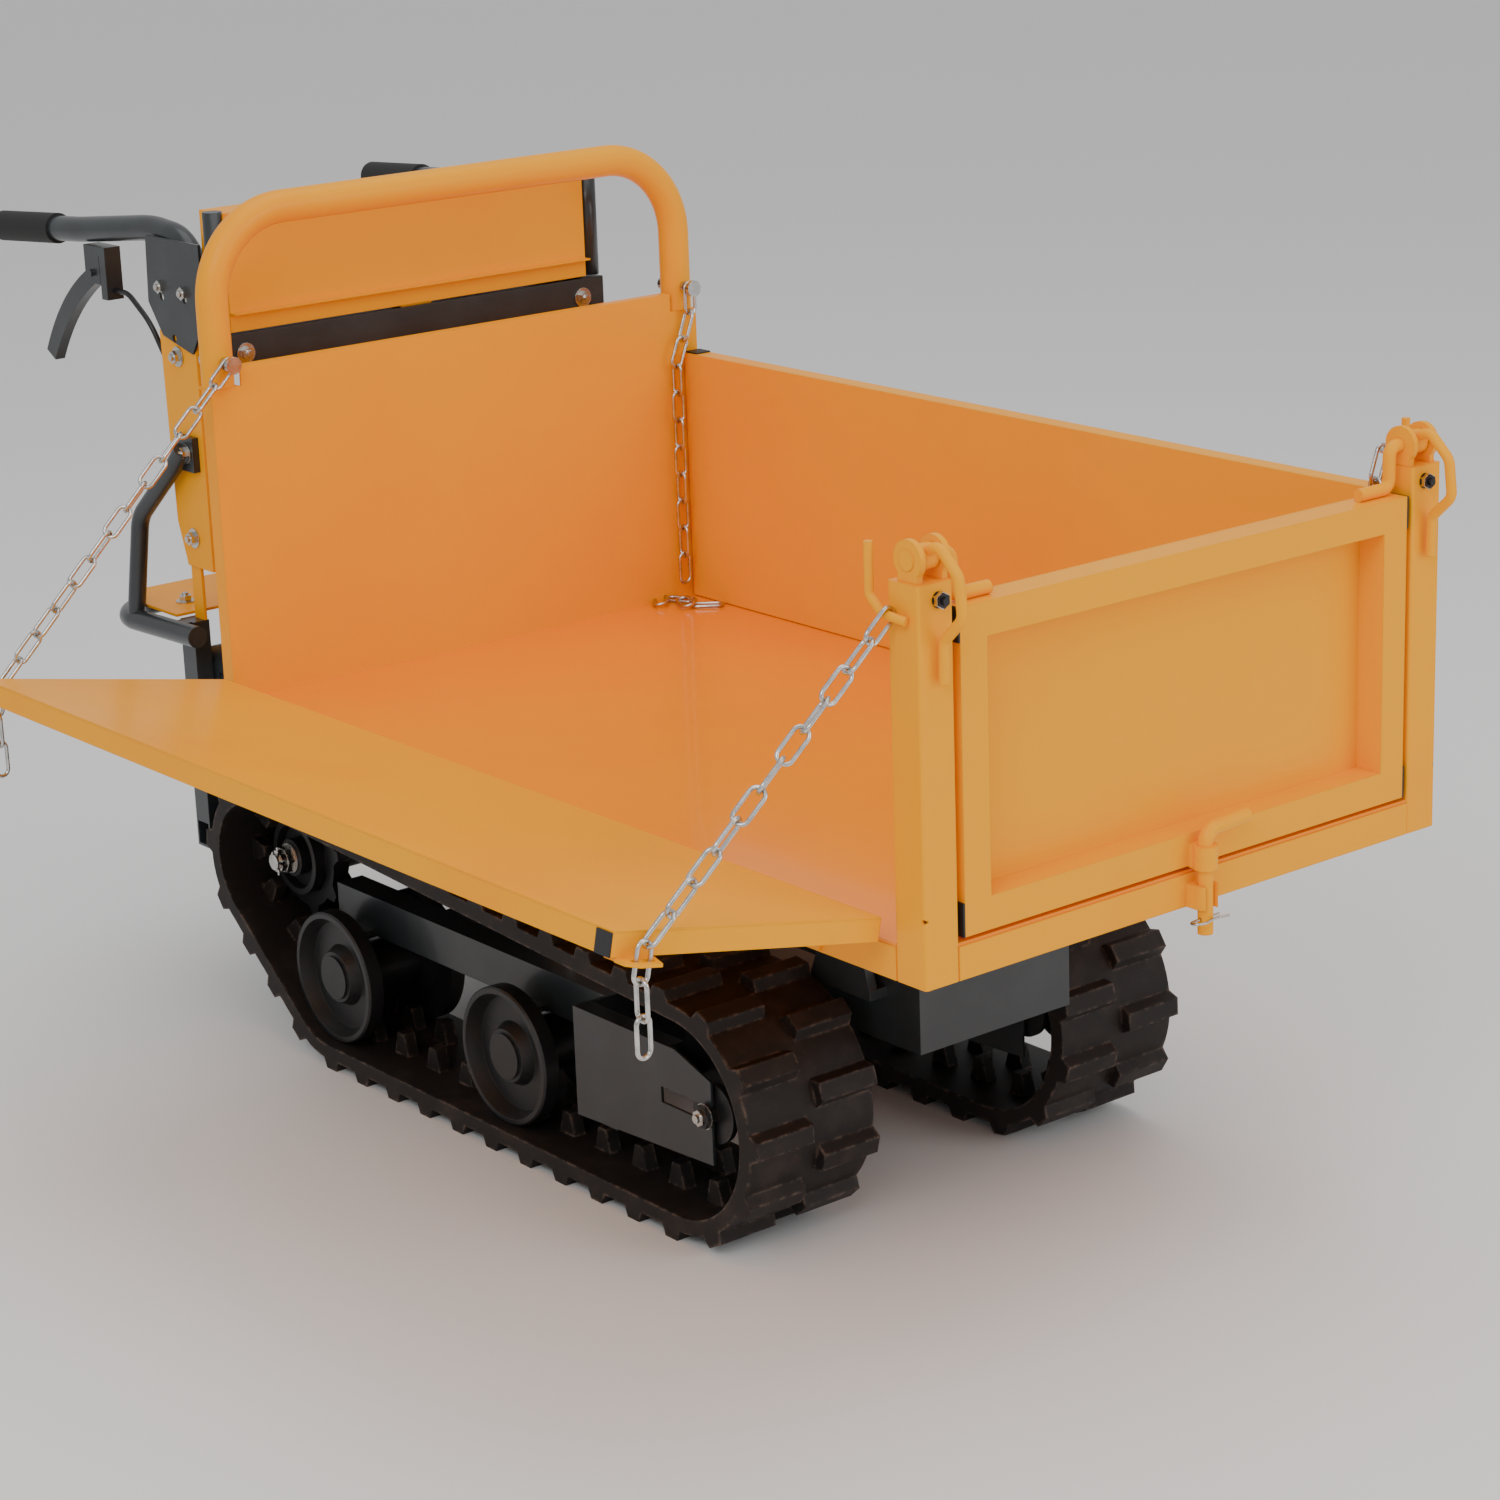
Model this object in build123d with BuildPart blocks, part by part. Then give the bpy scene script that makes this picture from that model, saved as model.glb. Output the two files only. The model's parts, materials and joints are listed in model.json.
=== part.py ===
"""Walk-behind tracked carrier with a three-way drop-side tray.

Frame: +X towards the tailgate, +Y the machine's left, +Z up, millimetres.
Z = 0 is the ground; X and Y are measured from the middle of the machine's box,
with its right side lowered on its chains. Stations along the machine are given
as distances behind the front face of the tray's corner posts.
"""
import os
from math import acos, atan2, ceil, cos, degrees, pi, radians, sin, sqrt

from build123d import *

os.makedirs("parts", exist_ok=True)

# ---- driving dimensions -------------------------------------------------
FRONT = 805.08           # X of the front faces of the corner posts
MID = 137.77             # Y of the machine's centre plane
TRAY_W = 634.0           # tray width over the corner posts
HALF = TRAY_W / 2
POST = 38.0              # square tube of the corner posts
POST_TOP = 725.0
TRAY_BOTTOM = 378.0
FLOOR_TOP = 411.0
FLOOR_T = 3.0
RAIL_W = 38.0            # floor rails
WALL = 2.5               # tube wall
HEAD_BACK = 1094.0       # front face of the headboard, behind the post fronts
HEAD_TOP = 762.0
HEAD_FLANGE = 20.0
SHEET = 2.5
ARCH_BACK = 1108.0
ARCH_R = 17.0
ARCH_TOP = 935.0
ARCH_BEND = 90.0

SIDE_T = 20.0            # side frame tube
SIDE_SKIN = 1.5
SIDE_BOTTOM = 412.0
SIDE_TOP = 694.0
SIDE_FRONT = POST + 3.0  # front end of a side, behind the post fronts
SIDE_REAR = HEAD_BACK - 4.0
HINGE_OUT = 10.5         # side hinge axis outboard of the tray's side face
HINGE_Z = 404.0
SIDE_DROP = 78.4         # the right side stands open by this angle

GATE_T = 30.0            # tailgate frame tube
GATE_HALF = 272.0
GATE_BOTTOM = 415.0
GATE_TOP = 700.0
PIVOT_BACK = 17.0        # tailgate hanger axis
PIVOT_Z = 744.0
HANGER_R = 6.0
FIT = 0.06               # radial clearance of a running fit
GAP = 0.3                # clearance between moving faces

LATCH_X = 13.0           # latch pin axis, ahead of the post fronts
PIN_R = 7.0

TRACK_Y = 198.0          # track centre line from the machine's centre plane
TRACK_W = 150.0
PITCH_NOMINAL = 60.0
BAND = 16.0              # rubber band thickness
TREAD = 11.0             # tread lug height
GUIDE = 24.0             # inner guide lug height
GUIDE_IN, GUIDE_OUT = 18.0, 32.0
ROLLER_R = 73.0
ROLLER_BACKS = (716.0, 1033.0)
ROLLER_Z = TREAD + BAND + ROLLER_R
BOW_BACK, BOW_R = 417.0, 100.0      # free bow of the track at the front
SPROCKET_BACK, SPROCKET_Z = 1160.0, 198.0
SPROCKET_TEETH = 8
NEUTRAL = 6.0            # cords of the track, above its inner face
SPROCKET_WRAP = SPROCKET_TEETH * PITCH_NOMINAL / (2 * pi) - NEUTRAL
IDLER_BACK, IDLER_Z, IDLER_R = 371.0, 142.0, 51.0

LINK_R = 2.0             # chain wire radius
LINK_LONG, LINK_WIDE = 39.6, 18.0
LINK_PITCH = 31.2
LINK_HALF = LINK_LONG / 2 - LINK_WIDE / 2
CHAIN_BACK = 1082.25     # plane of the chains at the headboard
TAB_OUT = 11.0           # slots of the chain tabs past the ends of a side
HOOK_OUT = 8.6           # chain hooks outboard of the posts

TIP_BACK, TIP_Z = 350.0, 318.0      # axis the tray tips about
TIP_R = 10.0

UPRIGHT_Y = 247.0        # handle frame, from the centre plane
CROSS_BACK = 1180.0
BAR_R = 14.0


# ---- helpers ------------------------------------------------------------
def back(distance):
    """X at a distance behind the front faces of the corner posts."""
    return FRONT - distance


def side(y):
    """Plane facing the machine's right at distance y left of its centre plane."""
    return Plane((0, MID + y, 0), x_dir=(1, 0, 0), z_dir=(0, -1, 0))


MIRROR = Plane((0, MID, 0), z_dir=(0, 1, 0))


def block(x, y, z, mode=Mode.ADD):
    """Box from ranges: x behind the post fronts, y from the centre plane, z."""
    (x0, x1), (y0, y1), (z0, z1) = x, y, z
    middle = (back((x0 + x1) / 2), MID + (y0 + y1) / 2, (z0 + z1) / 2)
    with Locations(middle):
        Box(abs(x1 - x0), abs(y1 - y0), abs(z1 - z0), mode=mode)


def drum(x, z, radius, y, mode=Mode.ADD):
    """Cylinder along Y from ranges given as in block()."""
    with Locations((back(x), MID + (y[0] + y[1]) / 2, z)):
        Cylinder(radius, abs(y[1] - y[0]), rotation=(90, 0, 0), mode=mode)


def tube_run(x, y, z, wall=WALL, axis="x"):
    """Rectangular tube, open at the ends of its long axis."""
    block(x, y, z)
    ranges = {"x": x, "y": y, "z": z}
    inner = {k: (min(r) + wall, max(r) - wall) for k, r in ranges.items()}
    inner[axis] = ranges[axis]
    block(inner["x"], inner["y"], inner["z"], mode=Mode.SUBTRACT)


def bent_rod(points, radius, bend, hollow=0.0):
    """Round rod or tube along straight runs joined by arcs of radius bend."""
    corners = [Vector(*p) for p in points]
    with BuildPart() as rod:
        with BuildLine() as path:
            if len(corners) > 2:
                FilletPolyline(*corners, radius=bend)
            else:
                Line(*corners)
        with BuildSketch(Plane(path.line @ 0, z_dir=path.line % 0)):
            Circle(radius)
            if hollow:
                Circle(hollow, mode=Mode.SUBTRACT)
        sweep(path=path.line)
    return rod.part


def at(x, y, z):
    """Point from a distance behind the post fronts, y off the centre plane, z."""
    return (back(x), MID + y, z)


def both(part):
    """The part and its mirror image across the centre plane."""
    return [part, mirror(part, about=MIRROR)]


def write(part, label):
    part.label = label
    export_step(part, f"parts/{label}.step")


# ---- tray ---------------------------------------------------------------
def write_tray():
    rail_top = FLOOR_TOP - FLOOR_T
    tall = (TRAY_BOTTOM, rail_top)
    with BuildPart() as tray_frame:
        tube_run((0, RAIL_W), (-HALF + POST, HALF - POST), tall, axis="y")
        for s in (-1, 1):
            tube_run((POST, HEAD_BACK), (s * HALF, s * (HALF - 30)), tall)
            block((RAIL_W, HEAD_BACK - 30), (s * 92, s * 122), (TRAY_BOTTOM, rail_top))
            block((RAIL_W, HEAD_BACK - 30), (s * 94.5, s * 119.5),
                  (TRAY_BOTTOM - 1, rail_top - 2.5), mode=Mode.SUBTRACT)
        tube_run((HEAD_BACK - 30, HEAD_BACK), (-HALF + 30, HALF - 30), tall, axis="y")
        for station in (300, 560, 820):
            tube_run((station, station + 30), (-HALF + 30, -122), tall, axis="y")
            tube_run((station, station + 30), (-92, 92), tall, axis="y")
            tube_run((station, station + 30), (122, HALF - 30), tall, axis="y")
        # tipping ears under the two middle rails
        for s in (-1, 1):
            with BuildSketch(side(s * 100 + 5)):
                with BuildLine():
                    Polyline((back(TIP_BACK - 55), TRAY_BOTTOM + 28), (back(TIP_BACK - 18), TIP_Z - 8),
                             (back(TIP_BACK), TIP_Z - 22), (back(TIP_BACK + 18), TIP_Z - 8),
                             (back(TIP_BACK + 55), TRAY_BOTTOM + 28), close=True)
                make_face()
                with Locations((back(TIP_BACK), TIP_Z)):
                    Circle(TIP_R + FIT, mode=Mode.SUBTRACT)
            extrude(amount=10)
        # striker the tipping catch hooks under
        block((HEAD_BACK, HEAD_BACK + 62), (-262, -254), (TRAY_BOTTOM + 2, TRAY_BOTTOM + 26))
        drum(HEAD_BACK + 52, TRAY_BOTTOM + 14, 5, (-254, -238))
    write(tray_frame.part, "tray_frame")

    with BuildPart() as tray_floor:
        block((2, HEAD_BACK), (-HALF + 1, HALF - 1), (rail_top, FLOOR_TOP))
        for s in (-1, 1):
            block((-1, POST), (s * (HALF - POST), s * (HALF + 1)), (rail_top - 1, FLOOR_TOP + 1),
                  mode=Mode.SUBTRACT)
    write(tray_floor.part, "tray_floor")

    with BuildPart() as post:
        block((0, POST), (-HALF, -HALF + POST), (TRAY_BOTTOM, POST_TOP))
        fillet(post.edges().filter_by(Axis.Z), 3)
        block((WALL, POST - WALL), (-HALF + WALL, -HALF + POST - WALL),
              (TRAY_BOTTOM - 1, POST_TOP - WALL), mode=Mode.SUBTRACT)
        with Locations(Location(at(0, -HALF + 22, 711), (0, 90, 0))):
            Hole(4.1, depth=4)
        with Locations(Location(at(2, -HALF, TRAY_BOTTOM + 61), (90, 0, 0))):
            Hole(2.0, depth=4)
    write(Compound(both(post.part)), "corner_posts")

    with BuildPart() as cheeks:
        for y in ((-HALF + 4, -HALF + 10), (-HALF + 31, -HALF + 37)):
            drum(PIVOT_BACK, PIVOT_Z, 17, y)
            block((PIVOT_BACK - 12, PIVOT_BACK + 12), y, (POST_TOP, PIVOT_Z - 4))
            block((PIVOT_BACK - 18, PIVOT_BACK + 18), (y[0] - 1, y[1] + 1),
                  (POST_TOP - 5, POST_TOP), mode=Mode.SUBTRACT)
        drum(PIVOT_BACK, PIVOT_Z, HANGER_R + FIT, (-HALF + 30, -HALF + 38), mode=Mode.SUBTRACT)
        # stub the release lever's hub turns on
        drum(PIVOT_BACK, PIVOT_Z, HANGER_R, (-HALF + 10, -HALF + 15.5))
        drum(PIVOT_BACK, PIVOT_Z, 9, (-HALF + 2.5, -HALF + 4))
    write(Compound(both(cheeks.part)), "hanger_cheeks")

    hook_y = -HALF - HOOK_OUT
    hook = bent_rod([at(10, -HALF - 4, 695), at(22, hook_y, 698), at(36, hook_y, 700),
                     at(50, hook_y, 712), at(50, hook_y, 757)], 4.0, [8, 6, 9])
    write(Compound(both(hook)), "chain_hooks")

    with BuildPart() as headboard:
        block((HEAD_BACK, HEAD_BACK + SHEET), (-HALF, HALF), (TRAY_BOTTOM + 31, HEAD_TOP))
        block((HEAD_BACK + SHEET, HEAD_BACK + HEAD_FLANGE), (-HALF, -HALF + SHEET),
              (TRAY_BOTTOM + 31, HEAD_TOP))
        block((HEAD_BACK + SHEET, HEAD_BACK + HEAD_FLANGE), (HALF - SHEET, HALF),
              (TRAY_BOTTOM + 31, HEAD_TOP))
        block((HEAD_BACK + SHEET, HEAD_BACK + 14), (-HALF + SHEET, HALF - SHEET),
              (HEAD_TOP - SHEET, HEAD_TOP))
        for z in (500, 620):
            block((HEAD_BACK + SHEET, HEAD_BACK + 14), (-HALF + SHEET, HALF - SHEET), (z, z + SHEET))
        for s in (-1, 1):
            # corners cut away for the feet of the arch
            block((HEAD_BACK - 5, HEAD_BACK + 40), (s * (HALF + 1), s * (HALF - 36)),
                  (742, HEAD_TOP + 1), mode=Mode.SUBTRACT)
            block((HEAD_BACK + SHEET, HEAD_BACK + HEAD_FLANGE + 10),
                  (s * (HALF - SHEET), s * (HALF - 34)), (739.5, 742))
    write(headboard.part, "headboard")

    leg = HALF - ARCH_R
    arch = bent_rod([at(ARCH_BACK, -leg, 742), at(ARCH_BACK, -leg, ARCH_TOP - ARCH_R),
                     at(ARCH_BACK, leg, ARCH_TOP - ARCH_R), at(ARCH_BACK, leg, 742)],
                    ARCH_R, ARCH_BEND, ARCH_R - 2)
    with BuildPart() as headboard_arch:
        add(arch)
        for s in (-1, 1):
            with Locations(Location(at(ARCH_BACK, s * leg, 768), (0, 90, 0))):
                Cylinder(4.1, 60, mode=Mode.SUBTRACT)
    write(headboard_arch.part, "headboard_arch")

    with BuildPart() as tray_bolts:
        for s in (-1, 1):
            # chain bolts on the arch legs: head, shank through the tube, collar
            with Locations(Location(at(CHAIN_BACK - 7, s * leg, 768), (0, 90, 0))):
                Cylinder(9, 5)
            with Locations(Location(at((CHAIN_BACK - 6 + ARCH_BACK + ARCH_R + 5) / 2, s * leg, 768),
                                    (0, 90, 0))):
                Cylinder(4, ARCH_BACK + ARCH_R + 11 - CHAIN_BACK)
            with Locations(Location(at(ARCH_BACK - ARCH_R - 2.2, s * leg, 768), (0, 90, 0))):
                Cylinder(7, 4.4)
            with Locations(Location(at(ARCH_BACK + ARCH_R + 3.5, s * leg, 768), (0, 90, 0))):
                Cylinder(7.5, 6)
            # hexagon bolts on the post fronts
            with BuildSketch(Plane(at(0, s * (HALF - 22), 711), z_dir=(1, 0, 0))):
                RegularPolygon(7.5, 6)
            extrude(amount=6)
            with Locations(Location(at(1, s * (HALF - 22), 711), (0, 90, 0))):
                Cylinder(4, 2)
    write(tray_bolts.part, "tray_bolts")

    with BuildPart() as latch_keeper:
        with BuildSketch(Plane.XY.offset(TRAY_BOTTOM)):
            with Locations((FRONT + LATCH_X, MID)):
                Circle(11)
            with Locations((FRONT + LATCH_X / 2, MID)):
                Rectangle(LATCH_X, 22)
            with Locations((FRONT + LATCH_X, MID)):
                Circle(PIN_R + GAP, mode=Mode.SUBTRACT)
            with Locations((FRONT + LATCH_X + 10, MID)):
                Rectangle(20, 2 * (PIN_R + GAP), mode=Mode.SUBTRACT)
        extrude(amount=22)
    write(latch_keeper.part, "latch_keeper")

    with BuildPart() as brackets:
        for station in (150, 565, 980):
            # plate on the rail's side, with the pin on its outer edge
            block((station - 15, station + 15), (-HALF - 3, -HALF), (TRAY_BOTTOM + 2, FLOOR_TOP - 4))
            block((station - 15, station + 15), (-HALF - HINGE_OUT, -HALF - 3),
                  (HINGE_Z - 8, HINGE_Z - 3))
            with Locations(Location(at(station, -HALF - HINGE_OUT, HINGE_Z), (0, 90, 0))):
                Cylinder(8, 30)
                Cylinder(5, 70)
    write(Compound(both(brackets.part)), "side_hinge_brackets")


# ---- drop sides ---------------------------------------------------------
def side_pieces():
    """The right side as it stands closed: frame, skin and end caps."""
    y0, y1 = -HALF, -HALF + SIDE_T
    x0, x1 = SIDE_FRONT, SIDE_REAR
    with BuildPart() as frame:
        tube_run((x0, x0 + SIDE_T), (y0, y1), (SIDE_BOTTOM, SIDE_TOP), 1.5, "z")
        tube_run((x1 - SIDE_T, x1), (y0, y1), (SIDE_BOTTOM, SIDE_TOP), 1.5, "z")
        tube_run((x0 + SIDE_T, x1 - SIDE_T), (y0, y1), (SIDE_TOP - SIDE_T, SIDE_TOP), 1.5)
        tube_run((x0 + SIDE_T, x1 - SIDE_T), (y0, y1), (SIDE_BOTTOM, SIDE_BOTTOM + SIDE_T), 1.5)
        for station in (390, 738):
            tube_run((station, station + SIDE_T), (y0, y1),
                     (SIDE_BOTTOM + SIDE_T, SIDE_TOP - SIDE_T), 1.5, "z")
        # hinge eyes on straps, one each side of every bracket
        for station in (150, 565, 980):
            for offset in (-24.5, 24.5):
                middle = station + offset
                with Locations(Location(at(middle, -HALF - HINGE_OUT, HINGE_Z), (0, 90, 0))):
                    Cylinder(8, 17)
                block((middle - 8.5, middle + 8.5), (-HALF - HINGE_OUT - 3, -HALF - HINGE_OUT + 3),
                      (HINGE_Z, SIDE_BOTTOM + 8))
                block((middle - 8.5, middle + 8.5), (-HALF - HINGE_OUT - 3, -HALF),
                      (SIDE_BOTTOM + 3, SIDE_BOTTOM + 12))
                with Locations(Location(at(middle, -HALF - HINGE_OUT, HINGE_Z), (0, 90, 0))):
                    Cylinder(5 + FIT, 20, mode=Mode.SUBTRACT)
        # chain tabs at both upper corners, standing out past the ends
        for edge, out in ((x0, -1), (x1, 1)):
            block((edge, edge - out * 16), (y0 - 3.6, y0), (SIDE_TOP - 42, SIDE_TOP - 6))
            with BuildSketch(side(-HALF - 0.6)):
                with BuildLine():
                    Polyline((back(edge), SIDE_TOP - 44), (back(edge), SIDE_TOP - 4),
                             (back(edge + out * 14), SIDE_TOP - 4),
                             (back(edge + out * 22), SIDE_TOP - 14),
                             (back(edge + out * 22), SIDE_TOP - 36), close=True)
                make_face()
                with Locations((back(edge + out * TAB_OUT), SIDE_TOP - 24)):
                    SlotOverall(24, 6.4, rotation=90, mode=Mode.SUBTRACT)
            extrude(amount=3)
    with BuildPart() as panel:
        block((x0, x1), (y1, y1 + SIDE_SKIN), (SIDE_BOTTOM, SIDE_TOP))
    with BuildPart() as caps:
        for a in (x0, x1 - SIDE_T):
            block((a + 1.5, a + SIDE_T - 1.5), (y0 + 1.5, y1 - 1.5), (SIDE_TOP - 8, SIDE_TOP))
            block((a, a + SIDE_T), (y0, y1), (SIDE_TOP, SIDE_TOP + 1.6))
    return {"frame": frame.part, "panel": panel.part, "caps": caps.part}


def write_sides():
    hinge = Axis((0, MID - HALF - HINGE_OUT, HINGE_Z), (1, 0, 0))
    for piece, part in side_pieces().items():
        write(part.rotate(hinge, SIDE_DROP), f"right_side_{piece}")
        write(mirror(part, about=MIRROR), f"left_side_{piece}")


# ---- tailgate -----------------------------------------------------------
def write_tailgate():
    x = (0, GATE_T)
    with BuildPart() as tailgate_frame:
        for z in ((GATE_BOTTOM, GATE_BOTTOM + GATE_T), (GATE_TOP - GATE_T, GATE_TOP)):
            tube_run(x, (-GATE_HALF, GATE_HALF), z, 2, "y")
        for s in (-1, 1):
            tube_run(x, (s * GATE_HALF, s * (GATE_HALF - GATE_T)),
                     (GATE_BOTTOM + GATE_T, GATE_TOP - GATE_T), 2, "z")
        # sleeve of the latch pin
        with BuildSketch(Plane.XY.offset(GATE_BOTTOM - 1)):
            with Locations((FRONT + LATCH_X, MID)):
                Circle(11)
            with Locations((FRONT + LATCH_X / 2, MID)):
                Rectangle(LATCH_X, 16)
            with Locations((FRONT + LATCH_X, MID)):
                Circle(PIN_R + FIT, mode=Mode.SUBTRACT)
        extrude(amount=22)
    write(tailgate_frame.part, "tailgate_frame")

    with BuildPart() as tailgate_panel:
        block((GATE_T, GATE_T + 1.5), (-GATE_HALF + 2, GATE_HALF - 2), (GATE_BOTTOM, GATE_TOP))
    write(tailgate_panel.part, "tailgate_panel")

    with BuildPart() as tailgate_caps:
        for s in (-1, 1):
            for z in (GATE_BOTTOM, GATE_TOP - GATE_T):
                block((2, GATE_T - 2), (s * (GATE_HALF - 8), s * GATE_HALF), (z + 2, z + GATE_T - 2))
                block((0, GATE_T), (s * GATE_HALF, s * (GATE_HALF + 2)), (z, z + GATE_T))
    write(tailgate_caps.part, "tailgate_caps")

    bar_z = GATE_TOP + HANGER_R
    hanger = bent_rod([at(PIVOT_BACK, -225, bar_z), at(PIVOT_BACK, -266, bar_z),
                       at(PIVOT_BACK, -266, PIVOT_Z), at(PIVOT_BACK, -HALF + 17, PIVOT_Z)],
                      HANGER_R, 9)
    write(Compound(both(hanger)), "tailgate_hangers")

    pin_z = 354.0
    latch_pin = bent_rod([(FRONT + LATCH_X, MID, pin_z), (FRONT + LATCH_X, MID, 449),
                          (FRONT + LATCH_X, MID + 52, 452)], PIN_R, 12)
    with BuildPart() as pin:
        add(latch_pin)
        drum(-LATCH_X, pin_z + 14, 1.8, (-12, 12), mode=Mode.SUBTRACT)
    write(pin.part, "latch_pin")

    clip_z = pin_z + 14
    leg = bent_rod([(FRONT + LATCH_X, MID + 17, clip_z), (FRONT + LATCH_X, MID - 13, clip_z)], 1.3, 1)
    loop = bent_rod([(FRONT + LATCH_X, MID - 13, clip_z), (FRONT + LATCH_X + 1, MID - 19, clip_z),
                     (FRONT + LATCH_X + 9, MID - 21, clip_z + 1),
                     (FRONT + LATCH_X + 12, MID - 12, clip_z + 1),
                     (FRONT + LATCH_X + 9, MID - 1, clip_z + 1), (FRONT + LATCH_X + 9, MID + 9, clip_z + 1),
                     (FRONT + LATCH_X + 13, MID + 17, clip_z + 2)], 1.3, [2.0, 3.5, 3.5, 3.5, 4])
    write((leg + loop).clean(), "r_clip")

    # release levers: hub between the cheeks, bar forward, down and back to the post
    y = -HALF + 20.5
    bar = bent_rod([at(PIVOT_BACK - 6, y, PIVOT_Z + 6), at(-4, y, PIVOT_Z + 12),
                    at(-27, y, PIVOT_Z - 10), at(-31, y, 700), at(-8, y, 678), at(-7, y, 642)],
                   4.8, [12, 16, 12, 10])
    with BuildPart() as lever:
        add(bar)
        drum(PIVOT_BACK, PIVOT_Z, 11, (-HALF + 11, -HALF + 30))
        drum(PIVOT_BACK, PIVOT_Z, HANGER_R + FIT, (-HALF + 10, -HALF + 31), mode=Mode.SUBTRACT)
    write(lever.part, "right_release_lever")
    write(mirror(lever.part, about=MIRROR), "left_release_lever")


# ---- chains -------------------------------------------------------------
def chain_link():
    """One welded link about the origin, long axis X, lying in the XY plane."""
    arc = LINK_WIDE / 2 - LINK_R
    with BuildPart() as link:
        with BuildLine() as path:
            Line((-LINK_HALF, -arc), (LINK_HALF, -arc))
            CenterArc((LINK_HALF, 0), arc, -90, 180)
            Line((LINK_HALF, arc), (-LINK_HALF, arc))
            CenterArc((-LINK_HALF, 0), arc, 90, 180)
        with BuildSketch(Plane((-LINK_HALF, -arc, 0), z_dir=(1, 0, 0))):
            Circle(LINK_R)
        sweep(path=path.line)
    return link.part


LINK = chain_link()


def place_link(middle, along, flat, twist=0.0):
    """A link whose face looks along flat, turned about its own long axis by twist."""
    seat = Plane(middle, x_dir=along, z_dir=along.cross(flat).cross(along))
    return seat.location * Location((0, 0, 0), (twist, 0, 0)) * LINK


def taut_chain(eye, anchor, reach, flat, twist):
    """Links from the end arc of a fixed link to a bar of the given radius."""
    run = anchor - eye
    span = run.length + reach + 2 * LINK_R + LINK_HALF - LINK_LONG / 2
    count = ceil(span / (LINK_LONG - 4 * LINK_R - 0.2))
    pitch = span / count
    along = run.normalized()
    links = []
    for i in range(count):
        middle = eye + along * (pitch * (i + 1) - LINK_HALF)
        links.append(place_link(middle, along, flat, 90 * (i % 2) + twist * i / (count - 1)))
    return links


def hung_chain(end, heading, ways, upright):
    """Links hung from an end arc, each on its own way (y, z); upright ones face X."""
    links = []
    for way in ways:
        way = Vector(0, *way).normalized()
        lead = heading if upright else way
        middle = end + lead * (LINK_PITCH - 2 * LINK_HALF) + way * LINK_HALF
        links.append(place_link(middle, way, Vector(1, 0, 0), 0 if upright else 90))
        end, heading, upright = middle + way * LINK_HALF, way, not upright
    return links


def lowered(vector):
    """Where a vector of the closed right side points when the side is lowered."""
    a = radians(SIDE_DROP)
    x, y, z = vector
    return Vector(x, y * cos(a) - z * sin(a), y * sin(a) + z * cos(a))


def write_chains():
    hinge = Vector(0, MID - HALF - HINGE_OUT, HINGE_Z)
    out = lowered((0, -1, 0))
    anchors = {"front": Vector(*at(27, -HALF - HOOK_OUT, 698.7)),
               "rear": Vector(*at(CHAIN_BACK, -HALF + ARCH_R, 768))}
    taut, tails = [], []
    for name, edge, way, twist in (("front", SIDE_FRONT, -1, 90), ("rear", SIDE_REAR, 1, 90)):
        eye = hinge + lowered((back(edge + way * TAB_OUT), HINGE_OUT - 2.1, SIDE_TOP - 24 - HINGE_Z))
        above, below = eye - out * LINK_HALF, eye + out * LINK_HALF
        # the link held in the tab's slot, then the loaded links up to the tray
        taut.append(place_link(eye, out, Vector(1, 0, 0)))
        run = anchors[name] - above
        taut += taut_chain(above, anchors[name], 4.15, run.cross(Vector(1, 0, 0)), twist)
        # spare links hanging under the tab
        for i in range(2):
            drop = Vector(0, 0, -(LINK_PITCH * (i + 1) - LINK_HALF))
            tails.append(place_link(below + drop, Vector(0, 0, -1), Vector(0, 1, 0), 86 * i))
    write(Compound(taut), "right_chains")
    write(Compound(tails), "chain_tails")

    # left chains hang inside the tray while that side is up
    down, slant = (0, -1), (-0.35, -0.94)
    rear = Vector(*at(CHAIN_BACK, HALF - ARCH_R, 768 + 6.15 - LINK_LONG / 2 + LINK_R))
    hang = [place_link(rear, Vector(0, 0, -1), Vector(1, 0, 0))]
    hang += hung_chain(rear - Vector(0, 0, LINK_HALF), Vector(0, 0, -1), [slant] * 2 + [down] * 8, False)
    front = Vector(*at(50, HALF + HOOK_OUT - 11.5, 730))
    hang.append(place_link(front, Vector(0, -1, 0), Vector(0, 0, 1)))
    hang += hung_chain(front - Vector(0, LINK_HALF, 0), Vector(0, -1, 0),
                       [slant] + [down] * 8, True)
    write(Compound(hang), "left_chains")


# ---- tracks -------------------------------------------------------------
WRAPS = ((back(ROLLER_BACKS[1]), ROLLER_Z, ROLLER_R),
         (back(BOW_BACK), TREAD + BAND + BOW_R, BOW_R),
         (back(SPROCKET_BACK), SPROCKET_Z, SPROCKET_WRAP))


def run_angles():
    """Outward normal, in degrees, of the straight run that leaves each wrap."""
    normals = []
    for (x0, z0, r0), (x1, z1, r1) in zip(WRAPS, WRAPS[1:] + WRAPS[:1]):
        span = sqrt((x1 - x0) ** 2 + (z1 - z0) ** 2)
        normals.append(degrees(atan2(z1 - z0, x1 - x0) - acos((r0 - r1) / span)) % 360)
    return normals


def belt_line(offset):
    """Closed outline of the track at a distance outside its inner face."""
    normals = run_angles()
    with BuildLine() as outline:
        for i, (x, z, r) in enumerate(WRAPS):
            arrive, leave = normals[i - 1], normals[i]
            CenterArc((x, z), r + offset, arrive, (leave - arrive) % 360)
            xn, zn, rn = WRAPS[(i + 1) % 3]
            c, s = cos(radians(leave)), sin(radians(leave))
            Line((x + (r + offset) * c, z + (r + offset) * s),
                 (xn + (rn + offset) * c, zn + (rn + offset) * s))
    return outline.line


CORDS = Wire(belt_line(NEUTRAL).edges())
LINKS = round(CORDS.length / PITCH_NOMINAL)


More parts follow.
